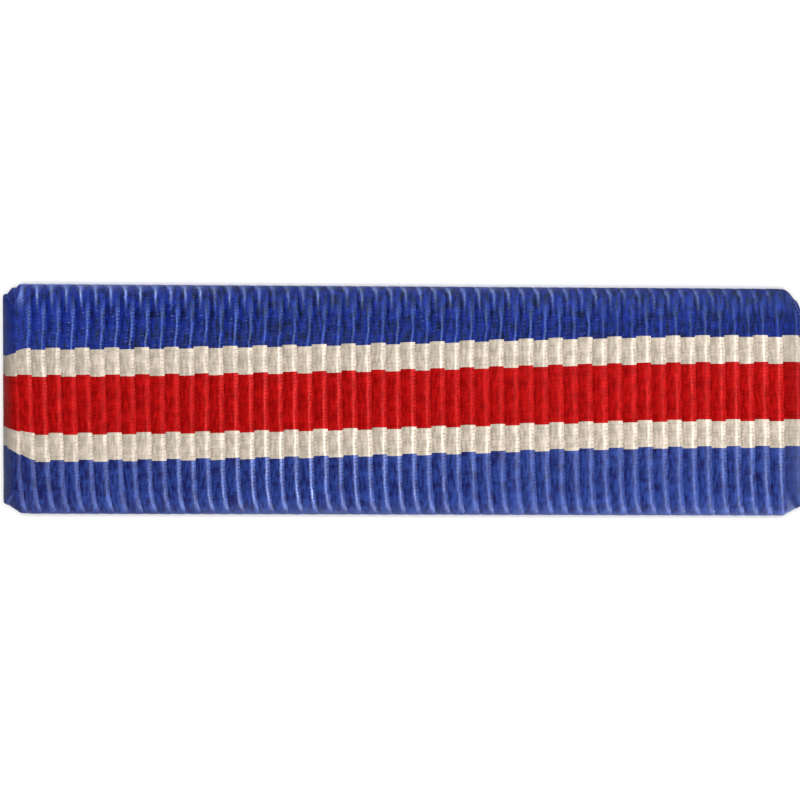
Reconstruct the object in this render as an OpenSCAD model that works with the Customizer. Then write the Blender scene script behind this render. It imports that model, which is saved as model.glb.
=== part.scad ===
// Ribbon bar: a ribbed, striped ribbon wrapped round a small sheet metal holder.
// It lies on its back. +X runs along the bar, +Y across it and +Z out of its face.
// The origin is under the middle of the bar, on the surface that it lies on.

/* [Bar] */
// Length over the ribbon
bar_l = 35; // [24:0.5:50]
// Height of the face over the ribbon
bar_h = 10; // [9:0.25:14]
// Height of the cut at the folded corners
corner_h = 0.55; // [0.3:0.05:0.9]

/* [Ribbon] */
// Thickness over the crests of the ribs
ribbon_t = 0.5; // [0.4:0.05:0.7]
// Depth of the valleys between the ribs
rib_depth = 0.12; // [0.06:0.01:0.2]
// Width of a rib, which is fitted to a whole number of ribs from end to end
rib_w = 0.645; // [0.5:0.005:1.2]
// Length of the ends turned in behind the plate
tuck_l = 2.4; // [1.5:0.1:4]
// Width of the edges turned onto the back
flap_w = 2.3; // [1.8:0.1:2.6]

/* [Stripes] */
// Width of the red stripe
red_w = 2.5; // [1.5:0.1:3]
// Width of each white stripe
white_w = 1.15; // [0.5:0.05:1.2]
// Rise of the stripes from end to end
stripe_rise = 0.7; // [-1:0.1:1]
// Height of the middle of the stripes above the middle of the face
stripe_shift = 0.12; // [-0.3:0.02:0.3]

/* [Holder] */
// Thickness of the sheet
sheet_t = 0.35; // [0.3:0.05:0.5]
// Inside radius of the folds
fold_r = 0.35; // [0.2:0.05:0.5]
// Width of each lip, from the outside of its fold
lip_w = 2; // [1.6:0.1:2.5]
// Thickness of the rail that the channel slides on
rail_t = 0.8; // [0.6:0.1:1.5]

/* [Fits] */
// Film of glue between the ribbon and the holder
glue_t = 0.05; // [0.03:0.01:0.1]
// Play of the rail in the channel
rail_play = 0.1; // [0.05:0.05:0.3]
// Length by which the folds stop short of the turned ends of the ribbon
fold_gap = 0.15; // [0.1:0.01:0.3]

/* [Hidden] */

BLUE = [0.15, 0.22, 0.5];
WHITE = [0.87, 0.82, 0.75];
RED = [0.74, 0.09, 0.09];
BRASS = [0.78, 0.62, 0.32];

// One rib from valley to valley: place along it and height, as shares of its width and depth
RIB = [[0, 0], [0.14, 0.66], [0.38, 1], [0.62, 1], [0.86, 0.66], [1, 0]];

// Folded corners: end and edge that they are at, then, as shares, the length of the cut
// (of the turned end), its height (of corner_h), its roundness (0 is straight, 1 is an
// ellipse) and the step down from the long edge (of ribbon_t)
CORNERS = [
    [1, 1, 1, 2.2, 1, 0],
    [-1, 1, 0.55, 0.8, 0, 0.3],
    [-1, -1, 1, 1, 0, 0],
    [1, -1, 1, 1, 0.1, 0],
];
CORNER_POINTS = 4;

// Lengths are kept to a thousandth, so that faces that meet are the same
function snap(v) = round(v * 1000) / 1000;

wrap_t = ribbon_t + glue_t;
channel_gap = wrap_t + rail_t + rail_play;
bar_t = 2 * (wrap_t + sheet_t) + channel_gap;

// Folds over the long edges: their outer radius and their axes
edge_r = fold_r + sheet_t + wrap_t;
edge_y = bar_h / 2 - edge_r;
edge_z = [edge_r, bar_t - edge_r];

// Turns round the ends: their inner and outer radius and their axes
turn_in = sheet_t / 2 + glue_t;
turn_r = turn_in + ribbon_t;
turn_x = snap(bar_l / 2 - turn_r);
turn_z = bar_t - turn_r;
turn_l = PI * turn_r;

// Length of the plate past the axes: its square ends stay inside the round hollows
plate_over = sqrt(pow(sheet_t / 2 + glue_t / 4, 2) - pow(sheet_t / 2, 2));

// Ribs are counted along the ribbon from the crest at each end of the bar
crest_s = turn_x + turn_l / 2;
pitch = 2 * crest_s / round(2 * crest_s / rib_w);

// Edge of a stripe at each end of the bar, for its height in the middle
function stripe_edge(y) = [
    [-bar_l, y + stripe_shift - stripe_rise],
    [bar_l, y + stripe_shift + stripe_rise]
];
STRIPES = [
    // lower edge, upper edge, colour
    [-bar_h, -red_w / 2 - white_w, BLUE],
    [-red_w / 2 - white_w, -red_w / 2, WHITE],
    [-red_w / 2, red_w / 2, RED],
    [red_w / 2, red_w / 2 + white_w, WHITE],
    [red_w / 2 + white_w, bar_h, BLUE],
];

// Thickness of the ribbon at a distance along it from its middle
function ribs_from_crest(s) = (s - crest_s) / pitch + 0.5;
function thick(s) = let (n = ribs_from_crest(s))
    snap(ribbon_t - rib_depth + rib_depth * lookup(n - floor(n), RIB));

// Distances between a and b where the ribs have a corner, with both ends
function rib_stops(a, b) = let (sliver = pitch / 20) [
    a,
    for (j = [floor(ribs_from_crest(a)):ceil(ribs_from_crest(b))], i = [0:len(RIB) - 2])
        let (s = snap(crest_s + (j + RIB[i][0] - 0.5) * pitch))
        if (s > a + sliver && s < b - sliver) s,
    b
];

// Outline of a straight run of ribbon: inner side at zero, ribs upward
function run_outline(a, b) = concat(
    [[b, 0], [a, 0]],
    [for (s = rib_stops(a, b)) [s, thick(s)]]
);

// Turn round an end, about its axis, from the face to the back: its outside and its hollow
function turn_point(s, r) = let (t = (s - turn_x) / turn_r * 180 / PI)
    [snap(r * sin(t)), snap(r * cos(t))];
function turn_outline() = concat(
    [for (s = rib_stops(turn_x, crest_s)) turn_point(s, turn_in + thick(s))],
    [for (s = rib_stops(crest_s, turn_x + turn_l)) if (s > crest_s) turn_point(s, turn_in + thick(s))]
);
function hollow_outline() = concat(
    [[-turn_in, -turn_in], [-turn_in, turn_in]],
    [for (i = [0:8]) turn_point(turn_x + turn_l * i / 8, turn_in)]
);

// A profile drawn as (x, z), extruded from y0 to y1
module along_y(y0, y1) {
    translate([0, y1, 0])
    rotate([90, 0, 0])
    linear_extrude(height = y1 - y0)
    children();
}

// The run of ribbon that goes from end to end of the face
module ribbed_run() {
    polygon(run_outline(-turn_x, turn_x));
}

// The same run carried round a quarter turn over a long edge, from angle a
module ribbed_fold(z, a) {
    translate([0, edge_y, z])
    rotate([0, -90, 0])
    rotate([0, 0, a])
    rotate_extrude(angle = 90, $fn = 48)
    translate([edge_r - ribbon_t, 0])
    rotate(90)
    mirror([0, 1])
    ribbed_run();
}

// Ribbon over one long edge and onto the back
module edge_wrap() {
    ribbed_fold(edge_z[1], 0);
    translate([0, bar_h / 2 - ribbon_t, edge_z[0]])
        linear_extrude(height = edge_z[1] - edge_z[0])
        ribbed_run();
    ribbed_fold(edge_z[0], 90);
    translate([0, 0, ribbon_t])
        mirror([0, 0, 1])
        along_y(bar_h / 2 - flap_w, edge_y)
        ribbed_run();
}

// Points of one folded corner, from the end towards the long edge
function corner_points(c) = let (
    w = turn_r * c[2],
    h = corner_h * c[3],
    x = bar_l / 2 - w,
    y = bar_h / 2 - ribbon_t * c[5] - h
) [
    for (i = [0:CORNER_POINTS])
        let (
            f = i / CORNER_POINTS,
            u = (1 - f) * (1 - c[4]) + cos(90 * f) * c[4],
            v = f * (1 - c[4]) + sin(90 * f) * c[4]
        )
        if (c[4] > 0 || i == 0 || i == CORNER_POINTS)
            [c[0] * snap(x + w * u), c[1] * snap(y + h * v)]
];

// Outline of one corner of an end, from the middle of the end to the turn's axis
module corner_outline(c) {
    top = c[1] * snap(bar_h / 2 - ribbon_t * c[5]);
    polygon(concat(
        [[c[0] * bar_l / 2, 0]],
        corner_points(c),
        [[c[0] * turn_x, top], [c[0] * turn_x, 0]]
    ));
}

// A profile drawn about the axis of the turn round one end, from y0 to y1
module along_turn(side, y0, y1) {
    along_y(y0, y1)
        mirror([side < 0 ? 1 : 0, 0])
        translate([turn_x, turn_z])
        children();
}

// Ribbon turned round one end and tucked in. The hollow holds the end of the plate,
// and past it the corners are folded solid.
module end_turn(side) {
    difference() {
        intersection() {
            along_turn(side, -bar_h / 2, bar_h / 2) polygon(turn_outline());
            linear_extrude(height = bar_t)
                for (c = CORNERS) if (c[0] == side) corner_outline(c);
            translate([-bar_l, 0, 0])
                rotate([90, 0, 90])
                linear_extrude(height = 2 * bar_l)
                edge_section();
        }
        along_turn(side, -edge_y - glue_t, edge_y + glue_t) polygon(hollow_outline());
    }
    translate([0, 0, turn_z - turn_in])
        mirror([0, 0, 1])
        mirror([side < 0 ? 1 : 0, 0, 0])
        along_y(-edge_y, edge_y)
        polygon(tuck_outline());
}

// The tucked end: its ribs follow on from those of the turn
function tuck_outline() = let (s0 = turn_x + turn_l, s1 = s0 + tuck_l) concat(
    [[turn_x - tuck_l, 0], [turn_x, 0]],
    [for (s = rib_stops(s0, s1)) [snap(turn_x - (s - s0)), thick(s)]]
);

// Section of the whole bar across its length, with both long edges rounded
module edge_section() {
    translate([-bar_h / 2, edge_z[0]]) square([bar_h, edge_z[1] - edge_z[0]]);
    translate([-edge_y, 0]) square([2 * edge_y, bar_t]);
    for (y = [-edge_y, edge_y], z = edge_z) translate([y, z]) circle(r = edge_r, $fn = 48);
}

// The face of the ribbon between the folds, with both ends turned in
module face_wrap() {
    translate([0, 0, bar_t - ribbon_t]) along_y(-edge_y, edge_y) ribbed_run();
    for (side = [-1, 1]) end_turn(side);
}

module ribbon() {
    for (s = STRIPES) color(s[2])
        intersection() {
            face_wrap();
            linear_extrude(height = bar_t)
                polygon(concat(stripe_edge(s[0]), [stripe_edge(s[1])[1], stripe_edge(s[1])[0]]));
        }
    color(BLUE) {
        edge_wrap();
        mirror([0, 1, 0]) edge_wrap();
    }
}

// One quarter fold of the sheet over a long edge, from angle a
module sheet_fold(l, z, a) {
    translate([0, edge_y, z])
    rotate([0, -90, 0])
    rotate([0, 0, a])
    rotate_extrude(angle = 90, $fn = 48)
    translate([fold_r, -l / 2])
    square([sheet_t, l]);
}

// One long side of the channel: two folds, the wall between them and the lip
module channel_side(l) {
    wall_y = bar_h / 2 - wrap_t - sheet_t;
    sheet_fold(l, edge_z[1], 0);
    translate([-l / 2, wall_y, edge_z[0]]) cube([l, sheet_t, edge_z[1] - edge_z[0]]);
    sheet_fold(l, edge_z[0], 90);
    lip_y = bar_h / 2 - wrap_t - lip_w;
    translate([-l / 2, lip_y, wrap_t]) cube([l, edge_y - lip_y, sheet_t]);
}

module holder() {
    plate_l = 2 * (turn_x + plate_over);
    side_l = 2 * (turn_x - fold_gap);
    color(BRASS) {
        translate([-plate_l / 2, -edge_y, bar_t - wrap_t - sheet_t])
            cube([plate_l, 2 * edge_y, sheet_t]);
        channel_side(side_l);
        mirror([0, 1, 0]) channel_side(side_l);
    }
}

ribbon();
holder();
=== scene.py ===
import math

import bpy
import numpy as np
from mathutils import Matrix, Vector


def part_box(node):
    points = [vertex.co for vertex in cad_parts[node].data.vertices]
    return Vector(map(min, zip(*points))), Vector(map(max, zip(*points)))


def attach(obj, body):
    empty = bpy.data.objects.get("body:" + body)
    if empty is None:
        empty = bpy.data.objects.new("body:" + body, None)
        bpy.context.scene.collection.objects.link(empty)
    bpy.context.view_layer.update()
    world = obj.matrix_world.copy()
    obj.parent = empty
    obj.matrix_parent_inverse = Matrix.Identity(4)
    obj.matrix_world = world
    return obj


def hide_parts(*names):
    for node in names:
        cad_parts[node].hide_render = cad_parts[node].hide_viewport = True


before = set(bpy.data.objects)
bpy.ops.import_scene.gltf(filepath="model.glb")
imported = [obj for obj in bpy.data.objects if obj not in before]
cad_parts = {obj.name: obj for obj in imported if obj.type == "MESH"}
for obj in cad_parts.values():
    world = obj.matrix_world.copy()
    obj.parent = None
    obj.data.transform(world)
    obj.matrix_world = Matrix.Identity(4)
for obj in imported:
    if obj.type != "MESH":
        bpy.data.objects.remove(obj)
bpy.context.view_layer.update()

# Holder
# One strip of thin sheet brass: a flat plate whose long edges are folded back twice into
# lips, so that its open-ended channel slides on a mounting rail. The ribbon is glued round it.
MM = 0.001
SHEET_EDGE = 0.03
BRASS = (0.70, 0.50, 0.20, 1)
BRASS_DULL = (0.36, 0.24, 0.10, 1)
BRASS_SMOOTH, BRASS_ROUGH = 0.24, 0.4
# The lines that rolling leaves along the sheet, and how deep they are
ROLLING = {"grain": 0.05, "scale": (0.04, 1, 1), "detail": 3.0}
ROLLING_RELIEF = {"depth": 0.004, "strength": 0.5}
TARNISH = {"grain": 1.6, "scale": (1, 1, 1), "detail": 4.0}
TARNISH_FROM, TARNISH_TO = 0.42, 0.68
TARNISH_MOST = 0.55
TARNISH_ROUGHENS = 0.3
# Noise seldom leaves this range
NOISE_LOW, NOISE_HIGH = 0.3, 0.7


def put(tree, value, socket):
    """Joins a node's output to a socket, or sets the socket to a plain value."""
    if isinstance(value, bpy.types.NodeSocket):
        tree.links.new(value, socket)
    else:
        socket.default_value = value


def calc(tree, operation, *values):
    """One step of arithmetic on outputs and plain values."""
    step = tree.nodes.new("ShaderNodeMath")
    step.operation = operation
    for socket, value in zip(step.inputs, values):
        put(tree, value, socket)
    return step.outputs[0]


def blend_colours(tree, share, first, second):
    """The first colour where the share is 0, the second where it is 1."""
    step = tree.nodes.new("ShaderNodeMix")
    step.data_type = "RGBA"
    put(tree, share, step.inputs["Factor"])
    put(tree, first, step.inputs[6])
    put(tree, second, step.inputs[7])
    return step.outputs[2]


def ramp(tree, value, start, end, low, high):
    """A value carried from one range to another, held at both ends."""
    step = tree.nodes.new("ShaderNodeMapRange")
    for socket, number in zip(step.inputs, (value, start, end, low, high)):
        put(tree, number, socket)
    return step.outputs[0]


def speckle(tree, grain, scale, detail):
    """Noise from 0 to 1, whose grains are about grain / scale millimetres along each axis."""
    place = tree.nodes.new("ShaderNodeTexCoord")
    spread = tree.nodes.new("ShaderNodeMapping")
    spread.inputs["Scale"].default_value = scale
    tree.links.new(place.outputs["Object"], spread.inputs["Vector"])
    noise = tree.nodes.new("ShaderNodeTexNoise")
    tree.links.new(spread.outputs["Vector"], noise.inputs["Vector"])
    noise.inputs["Scale"].default_value = 1 / (grain * MM)
    noise.inputs["Detail"].default_value = detail
    return noise.outputs["Fac"]


def spread_noise(tree, noise, low, high):
    """Noise spread over a range of its own."""
    return ramp(tree, noise, NOISE_LOW, NOISE_HIGH, low, high)


def relief(tree, shader, height, depth, strength):
    """Feeds a height from 0 to 1, which stands for depth millimetres, to the shader's normal."""
    step = tree.nodes.new("ShaderNodeBump")
    step.inputs["Distance"].default_value = depth * MM
    step.inputs["Strength"].default_value = strength
    put(tree, height, step.inputs["Height"])
    tree.links.new(step.outputs["Normal"], shader.inputs["Normal"])


def new_finish(name):
    """A new material, with its node tree and its shader."""
    finish = bpy.data.materials.new(name)
    finish.use_nodes = True
    return finish, finish.node_tree, finish.node_tree.nodes["Principled BSDF"]


def rolled_brass():
    """Brass sheet with fine rolling lines and a cloudy tarnish, which is darker and duller."""
    finish, tree, shader = new_finish("rolled_brass")
    rolling = speckle(tree, **ROLLING)
    dull = ramp(tree, speckle(tree, **TARNISH), TARNISH_FROM, TARNISH_TO, 0.0, TARNISH_MOST)
    put(tree, blend_colours(tree, dull, BRASS, BRASS_DULL), shader.inputs["Base Color"])
    shader.inputs["Metallic"].default_value = 1.0
    rough = spread_noise(tree, rolling, BRASS_SMOOTH, BRASS_ROUGH)
    rough = calc(tree, "ADD", rough, calc(tree, "MULTIPLY", dull, TARNISH_ROUGHENS))
    put(tree, rough, shader.inputs["Roughness"])
    relief(tree, shader, rolling, **ROLLING_RELIEF)
    return finish


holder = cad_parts["holder"]
holder.data.materials.clear()
holder.data.materials.append(rolled_brass())
soften = holder.modifiers.new("soft_edges", "BEVEL")
soften.width = SHEET_EDGE * MM
soften.segments = 2
soften.limit_method = "ANGLE"

# Ribbon ground
# The ribbon is one strip of warp-faced rep: thick weft cords run across it and make the ribs.
# It is wrapped round the holder, turned in behind both ends and glued over both long edges.
RIBBON_T = 0.5
EDGE_R = 1.25
TURN_R = 0.725
FLAP_W = 2.3
TUCK_L = 2.4
RIB_PITCH = 0.6447
LAST_RIB_X = 16.42
RIB_DEPTH = 0.075
# Where a rib's crest lies, as a share of its width: to the right on the face, nearer the left
# round the upper edge, and far to the right on the last rib, which reaches over the right end
RIB_CREST = 0.62
UPPER_CREST = 0.42
UPPER_CREST_BEFORE = 0.3
UPPER_CREST_OVER = 0.6
RIGHT_TURN_CREST = 0.9
YARN_PITCH = 0.0837
# The last yarn of each stripe, counted from the middle
RED_UPPER, RED_LOWER = 14, -15
WHITE_UPPER, WHITE_LOWER = 28, -29

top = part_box("ribbon")[1] / MM
edge_y = top.y - EDGE_R
turn_x = top.x - TURN_R
wall_h = top.z - 2 * EDGE_R
flap_l = edge_y - (top.y - FLAP_W)
turn_l = math.pi * TURN_R
across_edge = edge_y + EDGE_R * math.pi / 2
across_end = across_edge + wall_h + EDGE_R * math.pi / 2 + flap_l
along_turn = turn_x + turn_l
along_end = along_turn + TUCK_L

# Corners as shares of the turned end: length of the cut along the bar, its height (of the
# edge's radius), its roundness (0 is straight) and the step down from the long edge
CORNERS = {
    (1, 1): (1.0, 1.0, 0.6, 0.0),
    (-1, 1): (0.52, 0.36, 0.0, 0.13),
    (-1, -1): (1.0, 0.38, 0.0, 0.0),
    (1, -1): (1.0, 0.36, 0.1, 0.0),
}
CORNER_STEP_OVER = 0.25
CORNER_SHARPNESS = 2.4
TINY = 1e-6
# The bar is a little wider at its left end, for each millimetre along it
WIDTH_TAPER = 0.0004
WIDER = 1.004
# The left end slants in towards the lower edge
SLANT = 0.008
SLANT_FROM = 14.0
SLANT_OVER = 3.0
# How square each end's turn is: 2 is a quarter circle, and 12 is nearly a square corner
END_SQUARENESS = {-1: 2.0, 1: 12.0}
PROFILE_STEPS = 200


def turn_profile(phi, squareness):
    """The point (out, up) of a rounded corner at the angle phi, as shares of its radius."""
    angle = np.linspace(0, math.pi / 2, PROFILE_STEPS)
    out, up = np.sin(angle) ** (2 / squareness), np.cos(angle) ** (2 / squareness)
    run = np.concatenate([[0], np.cumsum(np.hypot(np.diff(out), np.diff(up)))])
    share = np.minimum(phi, math.pi / 2) / (math.pi / 2) * run[-1]
    return np.interp(share, run, out), np.interp(share, run, up)


def smooth(x):
    """A step from 0 to 1 without corners."""
    x = np.clip(x, 0, 1)
    return x * x * (3 - 2 * x)


def corner_scale(px, py, length, height, roundness):
    """How far a corner's cut draws in the point (px, py) of its unit square."""
    most = np.maximum(np.maximum(px, py), TINY)
    qx, qy = px / most, py / most
    reach = height + length - height * length
    line = np.minimum(1, reach / np.maximum(height * qx + length * qy, TINY))
    # A rounded cut is part of an ellipse about (cx, cy), met where k2 r^2 - 2 k1 r + k0 = 0
    cx, cy = 1 - length, 1 - height
    k2 = (qx / length) ** 2 + (qy / height) ** 2
    k1 = qx * cx / length**2 + qy * cy / height**2
    k0 = (cx / length) ** 2 + (cy / height) ** 2 - 1
    arc = (k1 + np.sqrt(np.maximum(k1 * k1 - k2 * k0, 0))) / k2
    arc = np.where((arc * qx > cx) & (arc * qy > cy), np.minimum(arc, 1), 1)
    return line + (arc - line) * roundness


def folded(a, b, h):
    """Where a point of the ribbon lies: a along it, b across it and h above its inner side."""
    end, side = np.where(a < 0, -1, 1), np.where(b < 0, -1, 1)
    # Round each end: the angle phi of its turn, then the length tucked in behind
    past_end = np.maximum(np.abs(a) - turn_x, 0)
    phi = np.minimum(past_end / TURN_R, math.pi)
    tuck = np.maximum(past_end - turn_l, 0)
    # Round each long edge: the bend theta, the wall, the bend under it and the flap on the back
    past_edge = np.maximum(np.abs(b) - edge_y, 0)
    theta = np.minimum(past_edge / EDGE_R, math.pi / 2)
    wall = np.clip(past_edge - EDGE_R * math.pi / 2, 0, wall_h)
    under = np.clip((past_edge - EDGE_R * math.pi / 2 - wall_h) / EDGE_R, 0, math.pi / 2)
    flap = np.maximum(past_edge - EDGE_R * math.pi - wall_h, 0)
    rx, ry = TURN_R - RIBBON_T + h, EDGE_R - RIBBON_T + h
    # Shares of the radii: px and py are how far out, and upright is the height left in the turn
    px, upright, py = np.sin(phi), np.cos(np.minimum(phi, math.pi / 2)), np.sin(theta)
    for ex, squareness in END_SQUARENESS.items():
        out, up = turn_profile(phi, squareness)
        px = np.where((end == ex) & (phi < math.pi / 2), out, px)
        upright = np.where(end == ex, up, upright)
    scale, step = np.ones_like(px), np.zeros_like(px)
    for (ex, sy), (length, height, roundness, down) in CORNERS.items():
        here = (end == ex) & (side == sy) & (px > 0) & (py > 0)
        scale = np.where(here, corner_scale(px, py, length, height, roundness), scale)
        step = np.where(here, down * smooth(px / CORNER_STEP_OVER) * py, step)
    x = np.minimum(np.abs(a), turn_x) + rx * px * scale - tuck
    y = np.minimum(np.abs(b), edge_y) + ry * py * (scale - step) * np.cos(under) - flap
    y = y * (WIDER - WIDTH_TAPER * end * x)
    slant = SLANT * (edge_y + EDGE_R - side * y) * smooth((x - SLANT_FROM) / SLANT_OVER)
    x = x - np.where(end < 0, slant, 0)
    # Where an end and an edge both bend down, the two drops run into each other
    drop_x, drop_y = rx * (1 - upright), ry * (1 - np.cos(theta))
    drop = drop_x**CORNER_SHARPNESS + drop_y**CORNER_SHARPNESS
    drop = drop ** (1 / CORNER_SHARPNESS)
    middle = top.z - RIBBON_T + h - drop
    lower = np.maximum(-np.cos(phi), 0)
    floor_z = top.z - TURN_R - rx
    z = middle + (floor_z - middle) * lower - wall - ry * np.sin(under)
    return np.stack([end * x, side * y, z], axis=-1)


# The stripes drift up the bar from left to right, and narrow where they meet the left end
DRIFT_MIDDLE = 0.143
DRIFT_RISE = 0.37
DRIFT_X = 1.2
DRIFT_LEFT = 20.0
DRIFT_RIGHT = 15.5
# The weft cords lean: along the bar, for each millimetre across it, more near its left end,
# and they bend to the right towards both long edges. The last ribs lie a little to the left.
LEAN = -0.024
LEFT_LEAN = -0.018
LEFT_LEAN_FROM = 9.0
LEFT_LEAN_OVER = 5.0
UPPER_BEND = 0.09
UPPER_BEND_FROM = 2.3
UPPER_BEND_OVER = 0.9
UPPER_BEND_END = 12.0
UPPER_BEND_FADE = 6.0
LOWER_LEAN = 0.09
LOWER_LEAN_FROM = 2.8
LOWER_LEAN_OVER = 2.0
LOWER_LEAN_MOST = 1.3
LOWER_LEAN_POWER = 1.6
LAST_RIBS_SHIFT = -0.05
LAST_RIBS_FROM = 14.0
LAST_RIBS_OVER = 2.0
# The ribs flatten out round each end, from this far before its turn (below 0 is past it)
FLAT_FROM_LEFT = 0.2
FLAT_FROM_RIGHT = -0.3
FLAT_OVER_END = 0.35
# They are flatter round both long edges: how much, and from where to where in edge radii
FLATTER_EDGE = 0.85
FLATTER_FROM = 0.6
FLATTER_TO = 2.4


def drift(s):
    """How far the stripes have moved across the bar at s along the ribbon."""
    reach = np.where(s < DRIFT_X, DRIFT_LEFT, DRIFT_RIGHT)
    turn = np.clip((s - DRIFT_X) / reach, -1, 1) * math.pi / 2
    return DRIFT_MIDDLE + DRIFT_RISE * np.sin(turn)


# Where the stripes lie before the left end, and how far each has moved across at the end
PINCH = np.array([
    (-9.5, 0.4), (-4.5, 0.5), (-2.4, 0.65), (-1.2, 0.17), (1.2, 0.02), (2.4, -0.38), (9.5, -0.3),
])
PINCH_FROM = 16.1
PINCH_OVER = 1.5


def pinch(s, b):
    """How far the folds of the left end pull the stripes towards its middle."""
    return np.interp(b, *PINCH.T) * smooth((-s - PINCH_FROM) / PINCH_OVER)


def lean(s, b):
    """How far the rib at s along the bar has moved along it at b across it."""
    low = np.clip((-b - LOWER_LEAN_FROM) / LOWER_LEAN_OVER, 0, LOWER_LEAN_MOST)
    slope = LEAN + LEFT_LEAN * smooth((-s - LEFT_LEAN_FROM) / LEFT_LEAN_OVER)
    upper = smooth((b - UPPER_BEND_FROM) / UPPER_BEND_OVER)
    upper = upper * smooth((UPPER_BEND_END - s) / UPPER_BEND_FADE)
    last = LAST_RIBS_SHIFT * smooth((s - LAST_RIBS_FROM) / LAST_RIBS_OVER)
    return slope * b + LOWER_LEAN * low**LOWER_LEAN_POWER + UPPER_BEND * upper + last


def rib_depth(a, b):
    """Depth of the valleys between ribs, which are pulled flat round the ends and long edges."""
    before_turn = np.where(a < 0, FLAT_FROM_LEFT, FLAT_FROM_RIGHT)
    round_end = smooth((np.abs(a) - turn_x + before_turn) / FLAT_OVER_END)
    off_edge = np.abs(b) - edge_y
    round_edge = smooth((off_edge - EDGE_R * FLATTER_FROM) / EDGE_R)
    round_edge = round_edge * (1 - smooth((off_edge - EDGE_R * FLATTER_TO) / EDGE_R))
    return RIB_DEPTH * (1 - round_end) * (1 - FLATTER_EDGE * round_edge)


def rib_height(t, a, b):
    """Height of the ribbon over its inner side at (a, b), the share t of a rib's width along it."""
    upper = smooth((b - edge_y + UPPER_CREST_BEFORE) / UPPER_CREST_OVER)
    crest = RIB_CREST + (UPPER_CREST - RIB_CREST) * upper
    crest = np.where(a > turn_x, RIGHT_TURN_CREST, crest)
    reach = np.where(t < crest, crest, 1 - crest)
    return RIBBON_T - rib_depth(a, b) * ((t - crest) / reach) ** 2


def new_piece(name, points, faces, finish):
    """A shaded mesh piece from points in millimetres."""
    mesh = bpy.data.meshes.new(name)
    mesh.from_pydata((points * MM).tolist(), [], faces)
    mesh.polygons.foreach_set("use_smooth", np.ones(len(mesh.polygons), bool))
    mesh.materials.append(finish)
    mesh.update()
    piece = bpy.data.objects.new(name, mesh)
    bpy.context.scene.collection.objects.link(piece)
    return piece


def point_values(piece, name, values):
    """Stores one number for each point of a piece, for its material to read."""
    layer = piece.data.attributes.new(name, "FLOAT", "POINT")
    layer.data.foreach_set("value", np.ascontiguousarray(values, dtype=np.float32).ravel())


def stored(tree, name):
    """The number that point_values stored."""
    step = tree.nodes.new("ShaderNodeAttribute")
    step.attribute_name = name
    return step.outputs["Fac"]


GROUND_BELOW = 0.035
GROUND_STEP = RIB_PITCH / 5
GROUND_ROW = 0.2
TURN_STEP = turn_l / 16


def spaced(start, end, step):
    """Even places from start to end, about a step apart."""
    return np.linspace(start, end, max(2, int(round((end - start) / step)) + 1))


def ground_mesh():
    """The closed sheet of the whole ribbon: points, faces, and each point's place in the stripes."""
    right = np.concatenate([
        spaced(0, turn_x, GROUND_STEP),
        spaced(turn_x, along_turn, TURN_STEP)[1:],
        spaced(along_turn, along_end, GROUND_STEP)[1:],
    ])
    upper = np.concatenate([
        spaced(0, edge_y, GROUND_ROW),
        spaced(edge_y, across_edge, GROUND_ROW)[1:],
        spaced(across_edge, across_edge + wall_h, GROUND_ROW)[1:],
        spaced(across_edge + wall_h, across_end - flap_l, GROUND_ROW)[1:],
        spaced(across_end - flap_l, across_end, GROUND_ROW)[1:],
    ])
    a_line = np.concatenate([-right[:0:-1], right])
    b_line = np.concatenate([-upper[:0:-1], upper])
    a, b = np.meshgrid(a_line, b_line, indexing="ij")
    t = ((a - lean(a, b) - LAST_RIB_X) / RIB_PITCH + 0.5) % 1
    outer = rib_height(t, a, b) - GROUND_BELOW
    points = np.concatenate([
        folded(a, b, outer).reshape(-1, 3),
        folded(a, b, np.zeros_like(a)).reshape(-1, 3),
    ])
    across = np.tile((b - drift(a) - pinch(a, b)).ravel(), 2)
    # Each end narrows to the turned-in tongue between the folded edges
    a_mid, b_mid = (a_line[1:] + a_line[:-1]) / 2, (b_line[1:] + b_line[:-1]) / 2
    used = (np.abs(a_mid)[:, None] < turn_x) | (np.abs(b_mid)[None, :] < edge_y)
    rows, cols = used.shape
    below = a.size
    index = np.arange(a.size).reshape(a.shape)
    faces = []
    for i, j in zip(*np.nonzero(used)):
        ring = (index[i, j], index[i + 1, j], index[i + 1, j + 1], index[i, j + 1])
        faces.append(ring)
        faces.append(tuple(p + below for p in reversed(ring)))
        beside = ((i, j - 1), (i + 1, j), (i, j + 1), (i - 1, j))
        for k, (m, n) in enumerate(beside):
            if not (0 <= m < rows and 0 <= n < cols and used[m, n]):
                p, q = ring[k], ring[(k + 1) % 4]
                faces.append((q, p, p + below, q + below))
    return without_loose_points(points, faces, across)


def without_loose_points(points, faces, across):
    """The mesh without the points that no face uses."""
    faces = [tuple(int(p) for p in f) for f in faces]
    kept = sorted({p for f in faces for p in f})
    place = {p: i for i, p in enumerate(kept)}
    return points[kept], [tuple(place[p] for p in f) for f in faces], across[kept]


BLUE_GROUND = (0.004, 0.012, 0.11, 1)
WHITE_GROUND = (0.5, 0.45, 0.38, 1)
RED_GROUND = (0.36, 0.003, 0.003, 1)
GROUND_FIBRE = {"grain": 0.03, "scale": (0.2, 1, 1), "detail": 2.0}
GROUND_RELIEF = {"depth": 0.01, "strength": 0.6}
GROUND_DARKER = 0.6
GROUND_ROUGH = 0.9
GROUND_GLOSS = 0.1


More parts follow.
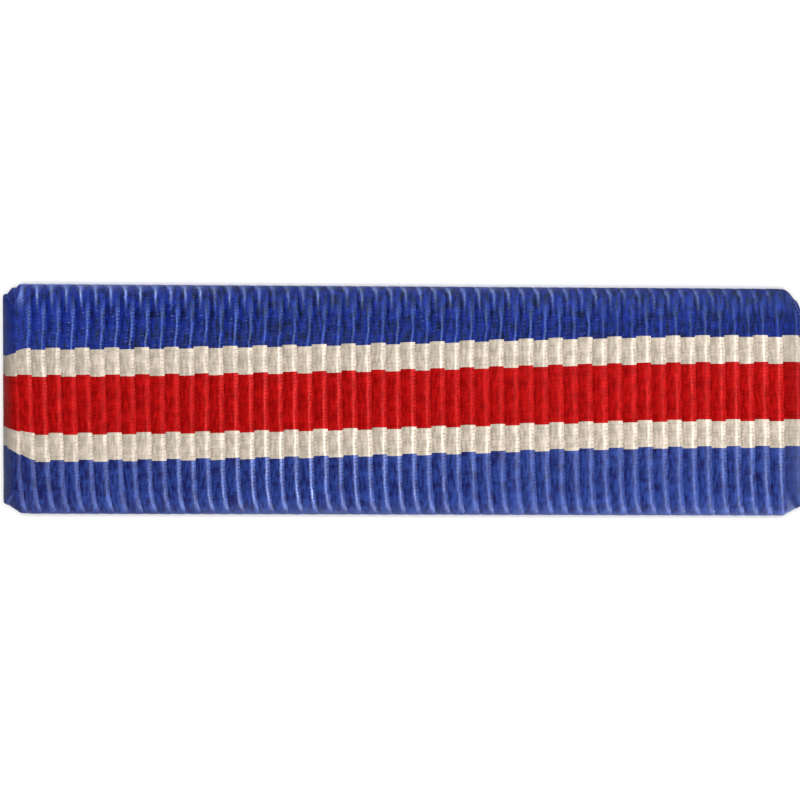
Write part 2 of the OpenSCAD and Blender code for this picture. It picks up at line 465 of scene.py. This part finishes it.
def woven_ground():
    """The dark foot of the yarns, in the colour of each stripe."""
    finish, tree, shader = new_finish("woven_ground")
    middle = (RED_UPPER + RED_LOWER) / 2 * YARN_PITCH
    across = calc(tree, "ABSOLUTE", calc(tree, "SUBTRACT", stored(tree, "across"), middle))
    past_red = calc(tree, "GREATER_THAN", across, RED_UPPER * YARN_PITCH - middle)
    past_white = calc(tree, "GREATER_THAN", across, WHITE_UPPER * YARN_PITCH - middle)
    colour = blend_colours(tree, past_red, RED_GROUND, WHITE_GROUND)
    colour = blend_colours(tree, past_white, colour, BLUE_GROUND)
    fibre = speckle(tree, **GROUND_FIBRE)
    darker = blend_colours(tree, 0.5, colour, (0, 0, 0, 1))
    darkened = spread_noise(tree, fibre, 0.0, GROUND_DARKER)
    put(tree, blend_colours(tree, darkened, colour, darker), shader.inputs["Base Color"])
    shader.inputs["Roughness"].default_value = GROUND_ROUGH
    shader.inputs["Specular IOR Level"].default_value = GROUND_GLOSS
    relief(tree, shader, fibre, **GROUND_RELIEF)
    return finish


ground_points, ground_faces, ground_across = ground_mesh()
ground = new_piece("ribbon_ground", ground_points, ground_faces, woven_ground())
point_values(ground, "across", ground_across)
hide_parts("ribbon")
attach(ground, "root")

# Warp yarns
# Fine lustrous yarns run lengthwise, so close that only they show. Each floats over one weft
# cord, is widest there, and tucks in at both ends between the floats of its neighbours.

# A float's grid: shares of a rib along it, then places round the yarn and how far each of
# them lies below its top
FLOAT_TS = np.array([-0.05, 0.02, 0.2, 0.42, 0.62, 0.74, 0.86, 0.98, 1.05])
FLOAT_CS = np.array([-1.0, -0.82, 0.82, 1.0, 0.0])
FLOAT_DROPS = np.array([0.002, 0.0, 0.0, 0.002, 0.09])
FLOAT_THIN = 0.9
FLOAT_BULGE = 0.2
FLOAT_BLUNT = 0.8
FLOAT_DIVE = 0.3
FLOAT_LIFT = 0.002
FLOAT_SLIP = 0.01
# How far the yarns of a turned end reach past the bend of its long edges
CORNER_FLOATS = 0.05
YARN_SEED = 7
STREAK_YARNS = 3.0
RIB_WOBBLE = 0.006
# A place that counts as past the start of the right end's turn
past_turn_x = turn_x + 0.001

# How lustrous each stripe is along the bar, from 1.5 down to -2 where it is quite dull
LUSTRE_MOST, LUSTRE_LEAST = 1.5, -2.0
LUSTRE_STREAKS = 0.25
LUSTRE_SPREAD = 0.1
LUSTRE_X = np.array([-17.4, -16.8, -12.5, -6.3, -0.4, 5.6, 12.2, 16.4, 16.8])
LUSTRE = {
    "blue_lower": [-2.5, -0.6, -0.5, 1.0, 0.5, -0.5, 0.0, 0.3, -1.0],
    "white_lower": [-2.5, 0.2, -0.6, 0.8, 1.0, 0.2, 0.6, 0.8, -0.2],
    "red": [-2.5, 0.3, -1.0, 0.8, 0.5, -1.0, 0.0, 0.4, -0.2],
    "white_upper": [-2.5, 0.5, -1.0, 0.6, 0.7, 0.2, 0.6, 0.8, -0.2],
    "blue_upper": [-2.5, 0.8, 1.5, 0.6, 0.7, 0.9, 0.3, 0.3, 0.0],
}

# How light its colour is along the bar, from 0 to 1
TONE_STREAKS = 0.06
TONE_SPREAD = 0.09
TONE_X = np.array([-18.0, -12.0, -8.0, 17.5])
TONE = {
    "blue_lower": [0.25, 0.45, 0.48, 0.56],
    "white_lower": [0.45, 0.5, 0.48, 0.5],
    "red": [0.5, 0.5, 0.48, 0.5],
    "white_upper": [0.35, 0.42, 0.48, 0.5],
    "blue_upper": [0.8, 0.62, 0.48, 0.5],
}


def streaks(chance, rows, cols):
    """Noise of spread 1 that runs on across a few yarns of one rib."""
    reach = np.arange(-3 * STREAK_YARNS, 3 * STREAK_YARNS + 1)
    weight = np.exp(-((reach / STREAK_YARNS) ** 2) / 2)
    noise = chance.normal(size=(rows, cols + len(reach) - 1))
    rough = np.stack([np.convolve(row, weight, "valid") for row in noise])
    return rough / math.sqrt(float((weight**2).sum()))


def on_ribbon(a0, b0, half):
    """Which floats of this half length lie on the ribbon, by the places of their middles."""
    beyond, beside = np.abs(a0), np.abs(b0)
    on_body = (beyond < turn_x - half / 2) & (beside < across_end - YARN_PITCH)
    # Past the middle of its turn only the tongue goes on, between the folded edges
    turn_reach = np.where(beyond < turn_x + turn_l / 2, across_edge + CORNER_FLOATS, edge_y)
    on_turn = (beyond >= turn_x - half / 2) & (beside < turn_reach) & (beyond < along_turn)
    on_tuck = (beyond >= along_turn) & (beside < edge_y) & (beyond < along_end - half)
    return on_body | on_turn | on_tuck


def scattered_floats(first, last, seed, stripe):
    """The floats of the yarns first to last: where their middles lie, and their looks."""
    chance = np.random.default_rng(seed)
    ribs = np.arange(
        math.floor((-along_end - LAST_RIB_X) / RIB_PITCH),
        math.ceil((along_end - LAST_RIB_X) / RIB_PITCH) + 1,
    )
    yarns = np.arange(first, last + 1)
    tone_streak = streaks(chance, len(ribs), len(yarns)).ravel()
    lustre_streak = streaks(chance, len(ribs), len(yarns)).ravel()
    wobble = streaks(chance, len(ribs), len(yarns)).ravel() * RIB_WOBBLE
    rib, yarn = (g.ravel() for g in np.meshgrid(ribs, yarns, indexing="ij"))
    s = LAST_RIB_X + rib * RIB_PITCH
    v = yarn * YARN_PITCH
    b = v + drift(s)
    a = s + lean(s, b)
    half = RIB_PITCH * (0.5 - FLOAT_TS[0])
    # Each yarn floats over every other rib, and its neighbours over the ribs between
    keep = ((rib + yarn) % 2 == 1) & on_ribbon(a, b, half)
    s, v, a, wobble = s[keep], v[keep], a[keep], wobble[keep]
    lift = -FLOAT_LIFT * np.abs(chance.normal(size=len(s)))
    slip = chance.normal(0, FLOAT_SLIP, len(s))
    tone = np.interp(a, TONE_X, TONE[stripe]) + TONE_STREAKS * tone_streak[keep]
    tone = tone + TONE_SPREAD * chance.normal(size=len(s))
    lustre = np.interp(a, LUSTRE_X, LUSTRE[stripe]) + LUSTRE_STREAKS * lustre_streak[keep]
    lustre = lustre + LUSTRE_SPREAD * chance.normal(size=len(s))
    places = {"s": s, "v": v, "a": a, "wobble": wobble, "lift": lift, "slip": slip}
    looks = {"tone": np.clip(tone, 0, 1), "lustre": np.clip(lustre, LUSTRE_LEAST, LUSTRE_MOST)}
    return places, looks


def float_points(s, v, a, wobble, lift, slip):
    """The points of the floats with these middles, and how far along the ribbon each point is."""
    s, v, middle_a, wobble, lift, slip = (x[:, None, None] for x in (s, v, a, wobble, lift, slip))
    along = FLOAT_TS[None, :, None]
    side = FLOAT_CS[None, None, :]
    on_rib = np.clip(along, 0, 1)
    wide = FLOAT_THIN + FLOAT_BULGE * np.sin(math.pi * on_rib) ** FLOAT_BLUNT
    s = s + (along + slip - 0.5) * RIB_PITCH + 0 * side
    b = v + side * wide * YARN_PITCH + drift(s)
    b = b + pinch(s, b)
    a = s + lean(s, b) + wobble
    # A whole float takes the crest of the stretch that its middle lies on
    crest_a = np.where(middle_a > turn_x, np.maximum(a, past_turn_x), np.minimum(a, turn_x))
    dive = FLOAT_DIVE * np.abs(along - on_rib) * RIB_PITCH
    h = rib_height(on_rib, crest_a, b) - dive - FLOAT_DROPS[None, None, :] + lift
    return folded(a, b, h), a


def float_faces(count):
    """The sides and the two end caps of so many floats."""
    n_t, n_c = len(FLOAT_TS), len(FLOAT_CS)
    index = np.arange(count * n_t * n_c).reshape(count, n_t, n_c)
    here, there = index[:, :-1, :], index[:, 1:, :]
    sides = np.stack([here, there, np.roll(there, -1, 2), np.roll(here, -1, 2)], axis=-1)
    caps = np.concatenate([index[:, 0, :], index[:, -1, ::-1]])
    return sides.reshape(-1, 4).tolist() + caps.tolist()


# How much painted shade darkens the colour round each end, from how far before its turn, and over what
# length
LEFT_SHADE = 0.7
LEFT_SHADE_BEFORE = 0.2
LEFT_SHADE_OVER = 0.9
RIGHT_SHADE = 0.4
RIGHT_SHADE_BEFORE = 0.1
RIGHT_SHADE_OVER = 0.2


def shaded(a):
    """How far painted shade has darkened the colour where the ribbon bends round the ends, from 0 to 1.
    """
    left = LEFT_SHADE * smooth((-a - turn_x + LEFT_SHADE_BEFORE) / LEFT_SHADE_OVER)
    right = RIGHT_SHADE * smooth((a - turn_x + RIGHT_SHADE_BEFORE) / RIGHT_SHADE_OVER)
    return np.maximum(left, right)


def yarn_piece(name, stripe, first, last, seed, finish):
    """One named piece of the yarns first to last, dressed in the stripe's finish."""
    places, looks = scattered_floats(first, last, seed, stripe)
    points, a = float_points(**places)
    piece = new_piece(name, points.reshape(-1, 3), float_faces(len(a)), finish)
    for label, numbers in looks.items():
        point_values(piece, label, np.broadcast_to(numbers[:, None, None], a.shape))
    # Where the colour is darkened by painted shade round the ends
    point_values(piece, "shaded", shaded(a))
    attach(piece, "root")
    return piece


ROUGH_DULL = 0.95
ROUGH_LUSTROUS = 0.355
# Patches of lighter and darker yarn, narrow along the bar, and the fibres along each yarn
PATCH = {"grain": 0.4, "scale": (3.6, 0.8, 1), "detail": 2.0}
PATCH_TONE = 0.7
FIBRE = {"grain": 0.02, "scale": (0.12, 1, 1), "detail": 3.0}
FIBRE_TONE = 0.2
FIBRE_LUSTRE = 0.15


def spun_yarn():
    """Node group: the colour, roughness and fibre relief of a lustrous yarn of mixed shades, darkened
    round the ends by painted shade.
    """
    group = bpy.data.node_groups.new("spun_yarn", "ShaderNodeTree")
    sockets = (
        ("Tone", "NodeSocketFloat"), ("Lustre", "NodeSocketFloat"), ("Shaded", "NodeSocketFloat"),
        ("Dark", "NodeSocketColor"), ("Light", "NodeSocketColor"), ("End", "NodeSocketColor"),
    )
    for label, kind in sockets:
        group.interface.new_socket(label, in_out="INPUT", socket_type=kind)
    group.interface.new_socket("Color", in_out="OUTPUT", socket_type="NodeSocketColor")
    group.interface.new_socket("Roughness", in_out="OUTPUT", socket_type="NodeSocketFloat")
    group.interface.new_socket("Height", in_out="OUTPUT", socket_type="NodeSocketFloat")
    given = group.nodes.new("NodeGroupInput").outputs
    made = group.nodes.new("NodeGroupOutput").inputs
    fibre = speckle(group, **FIBRE)
    patch = speckle(group, **PATCH)
    uneven = calc(group, "ADD", spread_noise(group, patch, -PATCH_TONE, PATCH_TONE), given["Tone"])
    uneven = calc(group, "ADD", uneven, spread_noise(group, fibre, -FIBRE_TONE, FIBRE_TONE))
    colour = blend_colours(group, uneven, given["Dark"], given["Light"])
    # Round the ends the colour is blended towards a darker colour: painted shade
    put(group, blend_colours(group, given["Shaded"], colour, given["End"]), made["Color"])
    gloss = spread_noise(group, fibre, -FIBRE_LUSTRE, FIBRE_LUSTRE)
    gloss = calc(group, "ADD", given["Lustre"], gloss)
    rough = ramp(group, gloss, LUSTRE_LEAST, LUSTRE_MOST, ROUGH_DULL, ROUGH_LUSTROUS)
    put(group, rough, made["Roughness"])
    put(group, fibre, made["Height"])
    return group


YARN_EFFECT = spun_yarn()
YARN_IOR = 1.75
YARN_GLOSS_STRETCH = 0.92
YARN_RELIEF = {"depth": 0.004, "strength": 0.3}


def yarn_finish(name, dark, light, end, gloss_tint, gloss):
    """A yarn's material: its colour lies between dark and light, and round the ends it turns to end, a
    painted shade.
    """
    finish, tree, shader = new_finish(name)
    effect = tree.nodes.new("ShaderNodeGroup")
    effect.node_tree = YARN_EFFECT
    values = {
        "Tone": stored(tree, "tone"), "Lustre": stored(tree, "lustre"), "Shaded": stored(tree, "shaded"),
        "Dark": dark, "Light": light, "End": end,
    }
    for label, value in values.items():
        put(tree, value, effect.inputs[label])
    put(tree, effect.outputs["Color"], shader.inputs["Base Color"])
    put(tree, effect.outputs["Roughness"], shader.inputs["Roughness"])
    shader.inputs["IOR"].default_value = YARN_IOR
    shader.inputs["Specular IOR Level"].default_value = gloss
    shader.inputs["Specular Tint"].default_value = gloss_tint
    shader.inputs["Anisotropic"].default_value = YARN_GLOSS_STRETCH
    # The gloss stretches across the yarns, round the bar's length
    across = tree.nodes.new("ShaderNodeTangent")
    across.direction_type = "RADIAL"
    across.axis = "X"
    tree.links.new(across.outputs["Tangent"], shader.inputs["Tangent"])
    relief(tree, shader, effect.outputs["Height"], **YARN_RELIEF)
    return finish


# Each yarn's end colour is painted shade, laid on where the ribbon turns round the bar's ends
BLUE_YARN = {
    "dark": (0.003, 0.003, 0.075, 1),
    "light": (0.018, 0.046, 0.25, 1),
    "end": (0.001, 0.004, 0.06, 1),
    "gloss_tint": (0.42, 0.52, 0.92, 1),
    "gloss": 1.0,
}
# A darker copy of the blue for the upper blue band: its darker colours are painted shade, and its gloss
# is weaker
SHADED_BLUE_YARN = {
    "dark": (0.0, 0.0005, 0.026, 1),
    "light": (0.005, 0.016, 0.2, 1),
    "end": (0.001, 0.005, 0.075, 1),
    "gloss_tint": (0.31, 0.48, 0.95, 1),
    "gloss": 0.45,
}
WHITE_YARN = {
    "dark": (0.40, 0.342, 0.275, 1),
    "light": (0.63, 0.54, 0.445, 1),
    "end": (0.27, 0.23, 0.19, 1),
    "gloss_tint": (1.0, 0.94, 0.84, 1),
    "gloss": 0.85,
}
RED_YARN = {
    "dark": (0.24, 0.001, 0.001, 1),
    "light": (0.44, 0.004, 0.004, 1),
    "end": (0.17, 0.0, 0.0, 1),
    "gloss_tint": (1.0, 0.1, 0.1, 1),
    "gloss": 0.7,
}

blue = yarn_finish("blue_yarn", **BLUE_YARN)
shaded_blue = yarn_finish("shaded_blue_yarn", **SHADED_BLUE_YARN)
white = yarn_finish("white_yarn", **WHITE_YARN)
red = yarn_finish("red_yarn", **RED_YARN)

last_yarn = int((across_end + DRIFT_RISE + DRIFT_MIDDLE) / YARN_PITCH) + 1
# The first yarn that is folded over onto the back
fold_yarn = int((across_edge + wall_h / 2) / YARN_PITCH)
yarns = [
    yarn_piece("fold_blue_lower", "blue_lower", -last_yarn, -fold_yarn, YARN_SEED + 5, blue),
    yarn_piece("warp_blue_lower", "blue_lower", 1 - fold_yarn, WHITE_LOWER - 1, YARN_SEED, blue),
    yarn_piece("warp_white_lower", "white_lower", WHITE_LOWER, RED_LOWER - 1, YARN_SEED + 1, white),
    yarn_piece("warp_red", "red", RED_LOWER, RED_UPPER, YARN_SEED + 2, red),
    yarn_piece("warp_white_upper", "white_upper", RED_UPPER + 1, WHITE_UPPER, YARN_SEED + 3, white),
    yarn_piece("warp_blue_upper", "blue_upper", WHITE_UPPER + 1, fold_yarn - 1, YARN_SEED + 4, shaded_blue),
    yarn_piece("fold_blue_upper", "blue_upper", fold_yarn, last_yarn, YARN_SEED + 6, shaded_blue),
]

# Table
# A plain pale table top, painted matt white. The bar lies loose on it, on the two folded
# edges of its back.
TABLE_HALF = 400.0
TABLE_PALE, TABLE_PALER = (0.93, 0.93, 0.93, 1), (0.95, 0.95, 0.95, 1)
TABLE_SPECKS = {"grain": 0.4, "scale": (1, 1, 1), "detail": 3.0}
TABLE_ROUGH = 0.9
TABLE_GLOSS = 0.1
table_points = np.array([(-1, -1, 0), (1, -1, 0), (1, 1, 0), (-1, 1, 0)]) * TABLE_HALF


def table_paint():
    """Matt white paint with faint specks."""
    finish, tree, shader = new_finish("table_paint")
    paler = spread_noise(tree, speckle(tree, **TABLE_SPECKS), 0.0, 1.0)
    put(tree, blend_colours(tree, paler, TABLE_PALE, TABLE_PALER), shader.inputs["Base Color"])
    shader.inputs["Roughness"].default_value = TABLE_ROUGH
    shader.inputs["Specular IOR Level"].default_value = TABLE_GLOSS
    return finish


table = new_piece("table", table_points, [(0, 1, 2, 3)], table_paint())

# Light and camera
# The photograph looks straight down on the bar, almost without perspective. The key light
# stands at the lower right. A low counter light reaches the upper blue yarns only, two weak
# fills light the bar from its ends, and the table has a light of its own.
LENS = 200.0
SENSOR = 36.0
PICTURE = 800
PIXELS_PER_MM = 22.9
# The pixel of the picture that the bar's middle lies on, and the bar's turn in the picture
AIM_PX = (401.5, 400.5)
TILT_DEG = 0.26
KEY = {"place": (111, -111, 228), "long": 112, "thin": 44, "watts": 1.0}
COUNTER = {"place": (-53, 266, 56), "long": 112, "thin": 24, "watts": 0.65}
LEFT_FILL = {"place": (-263, 0, 86), "long": 120, "thin": 60, "watts": 0.16}
RIGHT_FILL = {"place": (263, 0, 86), "long": 120, "thin": 60, "watts": 0.27}
TABLE_LIGHT = {"place": (0, 0, 320), "long": 60, "thin": 60, "watts": 1.0}
SKY = 0.16


def lamp(name, pieces, place, long, thin, watts):
    """A rectangular lamp aimed at the bar, which lights only the pieces given."""
    light = bpy.data.lights.new(name, "AREA")
    light.shape = "RECTANGLE"
    light.size = thin * MM
    light.size_y = long * MM
    light.energy = watts
    lamp_stand = bpy.data.objects.new(name, light)
    lamp_stand.location = [c * MM for c in place]
    aim = -lamp_stand.location
    lamp_stand.rotation_euler = aim.to_track_quat("-Z", "Y").to_euler()
    bpy.context.scene.collection.objects.link(lamp_stand)
    lit = bpy.data.collections.new(name + "_lights")
    for piece in pieces:
        lit.objects.link(piece)
    lamp_stand.light_linking.receiver_collection = lit


bar = [holder, ground, *yarns]
lamp("key_light", bar, **KEY)
lamp("left_fill", bar, **LEFT_FILL)
lamp("right_fill", bar, **RIGHT_FILL)
lamp("counter_light", yarns[-2:], **COUNTER)
lamp("table_light", [table], **TABLE_LIGHT)
world = bpy.data.worlds.new("studio")
world.use_nodes = True
world.node_tree.nodes["Background"].inputs["Color"].default_value = (1, 1, 1, 1)
world.node_tree.nodes["Background"].inputs["Strength"].default_value = SKY
bpy.context.scene.world = world

camera_data = bpy.data.cameras.new("camera")
camera_data.lens = LENS
camera_data.sensor_width = SENSOR
camera_data.clip_start = 0.01
camera_data.clip_end = 10
camera = bpy.data.objects.new("camera", camera_data)
distance = PICTURE / PIXELS_PER_MM * LENS / SENSOR
tilt = math.radians(TILT_DEG)
shift_x = (PICTURE / 2 - AIM_PX[0]) / PIXELS_PER_MM
shift_y = (AIM_PX[1] - PICTURE / 2) / PIXELS_PER_MM
camera.location = (
    (shift_x * math.cos(tilt) - shift_y * math.sin(tilt)) * MM,
    (shift_x * math.sin(tilt) + shift_y * math.cos(tilt)) * MM,
    (top.z + distance) * MM,
)
camera.rotation_euler = (0, 0, tilt)
bpy.context.scene.collection.objects.link(camera)
bpy.context.scene.camera = camera
bpy.context.scene.view_settings.view_transform = "Standard"
